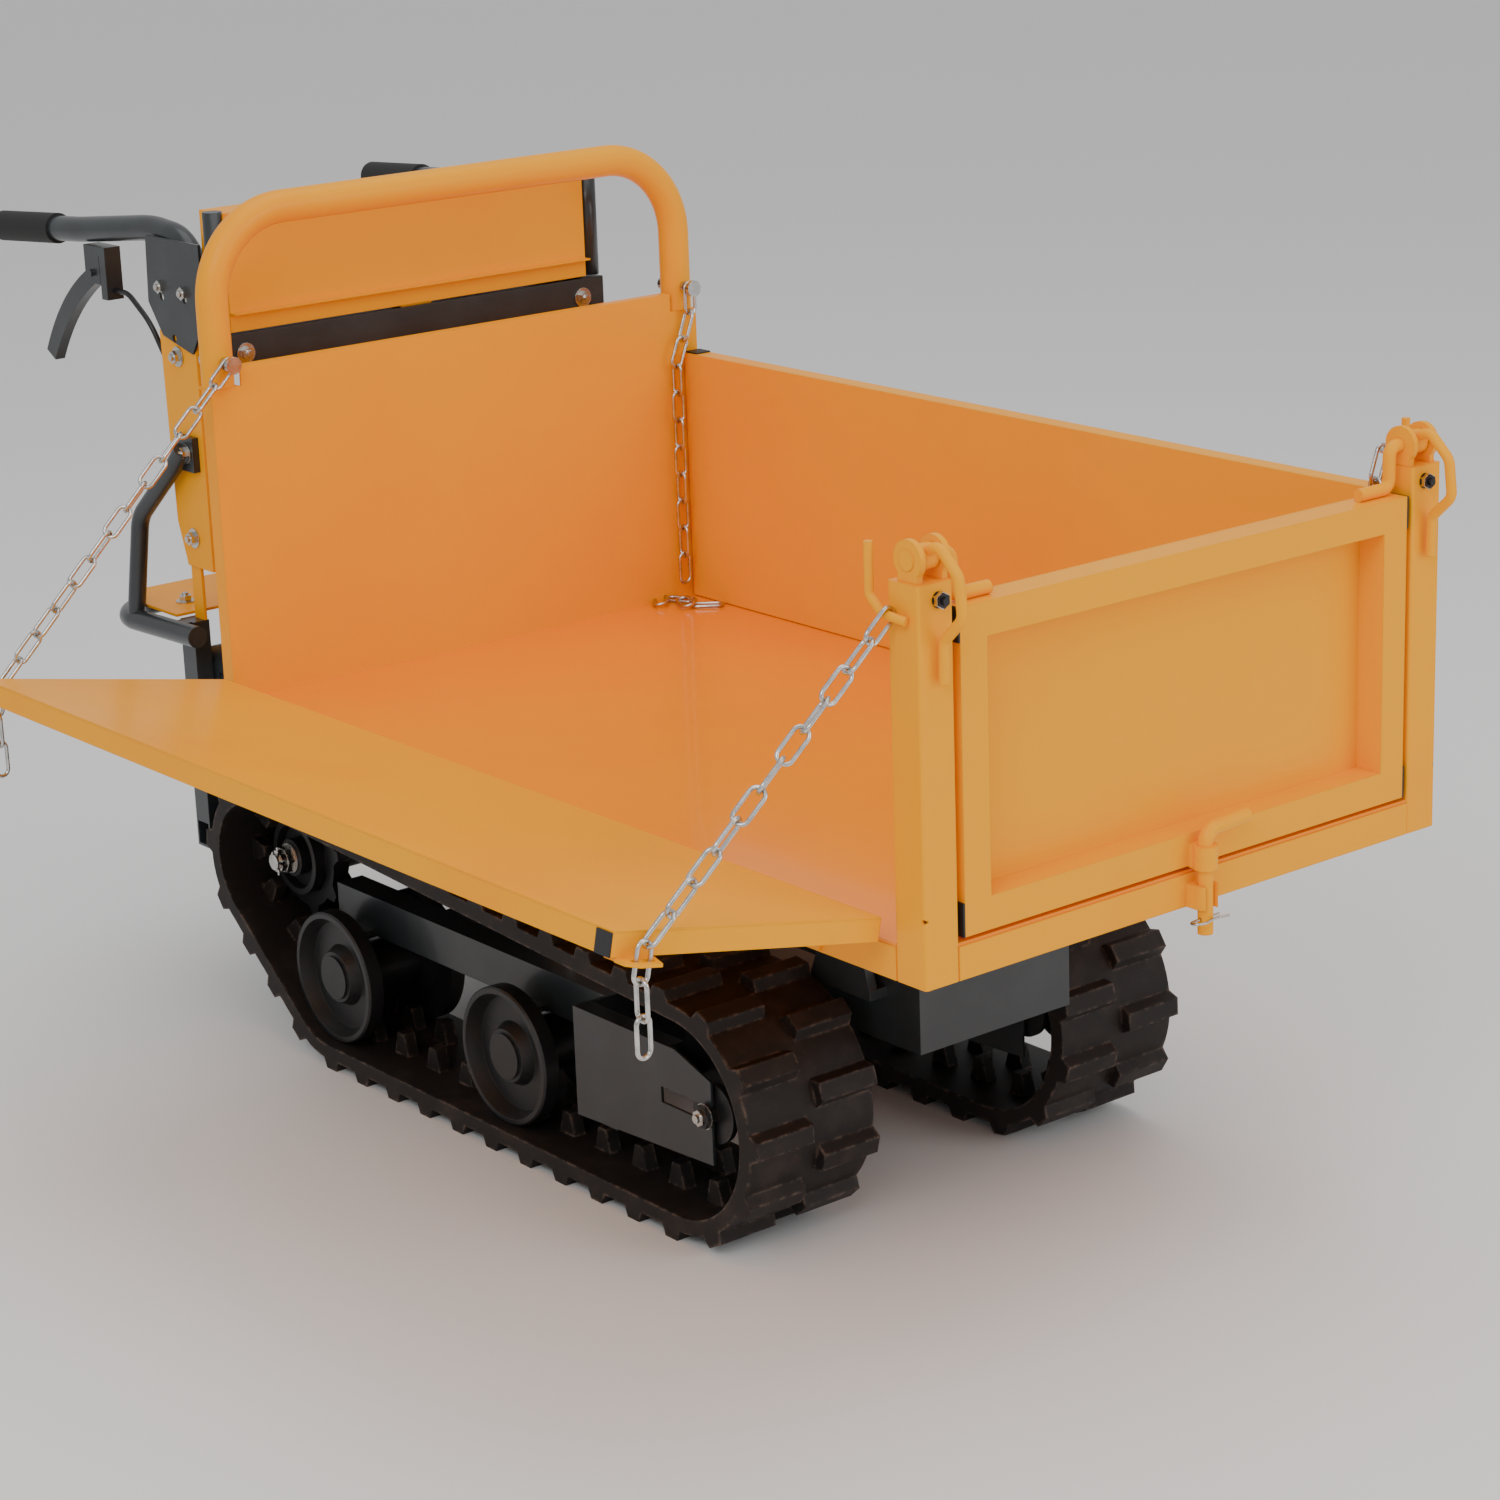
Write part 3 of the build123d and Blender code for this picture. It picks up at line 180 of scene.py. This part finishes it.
for name, node in frame["nodes"].items():
    node.data.materials.clear()
    node.data.materials.append(surfaces[slots[name]])
# the tray floor takes the darker orange copy, which is painted shade
frame["nodes"]["tray_floor"].data.materials[0] = surfaces["shaded_floor_paint"]


# ---- helpers ------------------------------------------------------------
POST_FRONT, TRAY_MID = 0.80508, 0.13777  # row-frame x of the post fronts, y of the tray's middle


def place(back, across, height):
    """Row-frame point from millimetres behind the post fronts, left of centre and above ground."""
    return Vector((POST_FRONT - back / 1000, TRAY_MID + across / 1000, height / 1000))


def linked(name, data):
    piece = bpy.data.objects.new(name, data)
    bpy.context.collection.objects.link(piece)
    return piece


# ---- chains -------------------------------------------------------------
LINK_HALF, LINK_BEND, LINK_WIRE = 0.0108, 0.007, 0.002  # half straight, bend radius, wire radius


def link_curve(name):
    """One welded link as a closed curve of two half circles."""
    curve = bpy.data.curves.new(name, "CURVE")
    curve.dimensions = "3D"
    curve.bevel_depth = LINK_WIRE
    curve.bevel_resolution = 4
    spline = curve.splines.new("POLY")
    points = []
    for end in (1, -1):
        for step in range(13):
            turn = math.radians(-90 + 15 * step)
            points.append((end * (LINK_HALF + LINK_BEND * math.cos(turn)),
                           end * LINK_BEND * math.sin(turn), 0))
    spline.points.add(len(points) - 1)
    for point, where in zip(spline.points, points):
        point.co = (*where, 1)
    spline.use_cyclic_u = True
    return curve


def dropped_link(name, middle, heading, roll):
    """A link as a mesh, lying where it was dropped."""
    bent = linked(name, link_curve(name))
    bent.rotation_euler = (roll, 0, heading)
    bent.location = middle
    bpy.context.view_layer.update()
    graph = bpy.context.evaluated_depsgraph_get()
    solid = linked(name + "_solid", bpy.data.meshes.new_from_object(bent.evaluated_get(graph)))
    solid.matrix_world = bent.matrix_world.copy()
    bpy.data.objects.remove(bent)
    solid.data.materials.clear()
    solid.data.materials.append(surfaces["zinc"])
    for face in solid.data.polygons:
        face.use_smooth = True
    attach(solid, "tray")


# the taut chains join two bodies, so a copy with its placement baked in stands in for them and is
# attached to neither
node = frame["nodes"]["right_chains"]
taut = linked("taut_chains", node.data.copy())
taut.matrix_world = node.matrix_world.copy()
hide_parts("right_chains")
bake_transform(taut)

# the end of the left front chain lies on the tray floor
foot = Vector((POST_FRONT - 1.08225, TRAY_MID + 0.2785, 0.4135))
for i, (dx, dy, lift, heading, roll) in enumerate((
        (0.004, -0.012, 0.0, 0.5, 0.05), (0.026, -0.022, 0.003, -0.4, 0.2),
        (0.046, -0.006, 0.0, 0.9, 0.0), (-0.002, -0.036, 0.002, -0.7, 0.12))):
    dropped_link(f"dropped_link_{i}", foot + Vector((dx, dy, lift)), heading, roll)


# ---- fasteners and small tubes on the handle frame and the tracks --------
WASHER_THICK = 0.0016


def hex_bolt(name, where, facing, size, body, kind="zinc", washer=1.7):
    """Hexagon head and stub end on a washer, looking along facing; size is in millimetres."""
    turn = Vector(facing).to_track_quat("Z", "Y").to_matrix().to_4x4()
    seat = Matrix.Translation(where) @ turn
    r = size / 2000
    grid = bmesh.new()
    # segments, lower and upper radius, depth and middle of the washer, the head and the stub
    for segments, low, high, depth, middle in (
            (24, r * washer, r * washer, WASHER_THICK, WASHER_THICK / 2),
            (6, r * 1.12, r * 1.12, r * 0.95, WASHER_THICK + r * 0.475),
            (20, r * 0.62, r * 0.55, r * 0.5, WASHER_THICK + r * 1.15)):
        bmesh.ops.create_cone(grid, cap_ends=True, segments=segments, radius1=low, radius2=high,
                              depth=depth, matrix=seat @ Matrix.Translation((0, 0, middle)))
    mesh = bpy.data.meshes.new(name)
    grid.to_mesh(mesh)
    grid.free()
    mesh.materials.append(surfaces[kind])
    piece = linked(name, mesh)
    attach(piece, body)


def tube_piece(name, start, end, radius, kind, body):
    """Straight round tube between two row-frame points."""
    bpy.ops.mesh.primitive_cylinder_add(vertices=32, radius=radius, depth=(end - start).length,
                                        location=(start + end) / 2)
    piece = bpy.context.object
    piece.name = name
    piece.rotation_mode = "QUATERNION"
    piece.rotation_quaternion = (end - start).to_track_quat("Z", "Y")
    piece.data.materials.append(surfaces[kind])
    for face in piece.data.polygons:
        face.use_smooth = len(face.vertices) == 4
    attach(piece, body)


# name, place behind the post fronts, distance from the middle, height; they face outwards
SIDE_BOLTS = (("bracket_bolt_0", 1248, 248.5, 817, 13), ("bracket_bolt_1", 1296, 248.5, 819, 13),
              ("column_bolt_0", 1276, 248.6, 745, 13), ("column_bolt_1", 1272, 248.6, 545, 13),
              ("column_bolt_2", 1262, 257, 642, 13))
for tag, s in (("right", -1), ("left", 1)):
    out, upwards, forward = (0, s, 0), (0, 0, 1), (1, 0, 0)
    for name, back, across, height, size in SIDE_BOLTS:
        hex_bolt(f"{tag}_{name}", place(back, s * across, height), out, size, "chassis")
    hex_bolt(f"{tag}_plate_bolt", place(1345, s * 225, 456), upwards, 13, "chassis")
    hex_bolt(f"{tag}_idler_bolt", place(371, s * 270, 142), out, 15, "chassis")
    hex_bolt(f"{tag}_crossbar_bolt", place(1179.8, s * 222, 757), forward, 13, "chassis")
    hex_bolt(f"{tag}_post_bolt", place(-0.2, s * 295, 711), forward, 12, "tray", "dark_bolt", 1.2)
for tag, s in (("right", -1), ("left", 1)):
    tube_piece(f"{tag}_console_post", place(1192, s * 243, 780), place(1192, s * 243, 908), 0.0105,
               "black_paint", "chassis")


# ---- stage, light and camera -------------------------------------------
bpy.ops.mesh.primitive_plane_add(size=60, location=(0, 0, 0))
floor = bpy.context.object
floor.name = "floor"
floor.data.materials.append(surface("pale_floor", (0.88, 0.88, 0.88), 0.6))

world = bpy.data.worlds.new("studio")
bpy.context.scene.world = world
world.use_nodes = True
sky = world.node_tree.nodes["Background"]
sky.inputs["Color"].default_value = (1.0, 1.0, 1.0, 1)
sky.inputs["Strength"].default_value = 0.62


def area_light(name, where, aim, size, power):
    data = bpy.data.lights.new(name, "AREA")
    data.shape = "RECTANGLE"
    data.size, data.size_y = size
    data.energy = power
    lamp = linked(name, data)
    lamp.location = where
    lamp.rotation_mode = "QUATERNION"
    lamp.rotation_quaternion = (Vector(aim) - Vector(where)).to_track_quat("-Z", "Y")


area_light("key", (2.6, -3.4, 3.6), (0, 0, 0.4), (3.0, 2.0), 85)
area_light("top", (0.2, 0.4, 4.2), (0, 0, 0.3), (4.0, 3.0), 55)
area_light("fill", (4.2, 1.6, 2.0), (0, 0, 0.5), (2.0, 2.0), 40)

# camera fitted to the straight edges: its axes, its place and its focal length in frame widths
CAMERA_RIGHT = Vector((0.62895, 0.77670, -0.03440))
CAMERA_DOWN = Vector((0.20350, -0.20717, -0.95691))
CAMERA_PLACE = Vector((2.94028, -2.04963, 1.4476))
FOCAL_WIDTHS = 3637.0 / 1500.0
SENSOR = 36.0  # millimetres

ahead = CAMERA_RIGHT.cross(CAMERA_DOWN).normalized()
up = ahead.cross(CAMERA_RIGHT).normalized() * -1
if up.dot(CAMERA_DOWN) > 0:
    up = -up
lens = bpy.data.cameras.new("camera")
lens.sensor_fit = "HORIZONTAL"
lens.sensor_width = SENSOR
lens.lens = FOCAL_WIDTHS * SENSOR
lens.clip_start, lens.clip_end = 0.05, 100.0
camera = linked("camera", lens)
axes = zip(CAMERA_RIGHT, up, -ahead, CAMERA_PLACE)
camera.matrix_world = Matrix((*axes, (0, 0, 0, 1)))
bpy.context.scene.camera = camera

bpy.context.view_layer.update()
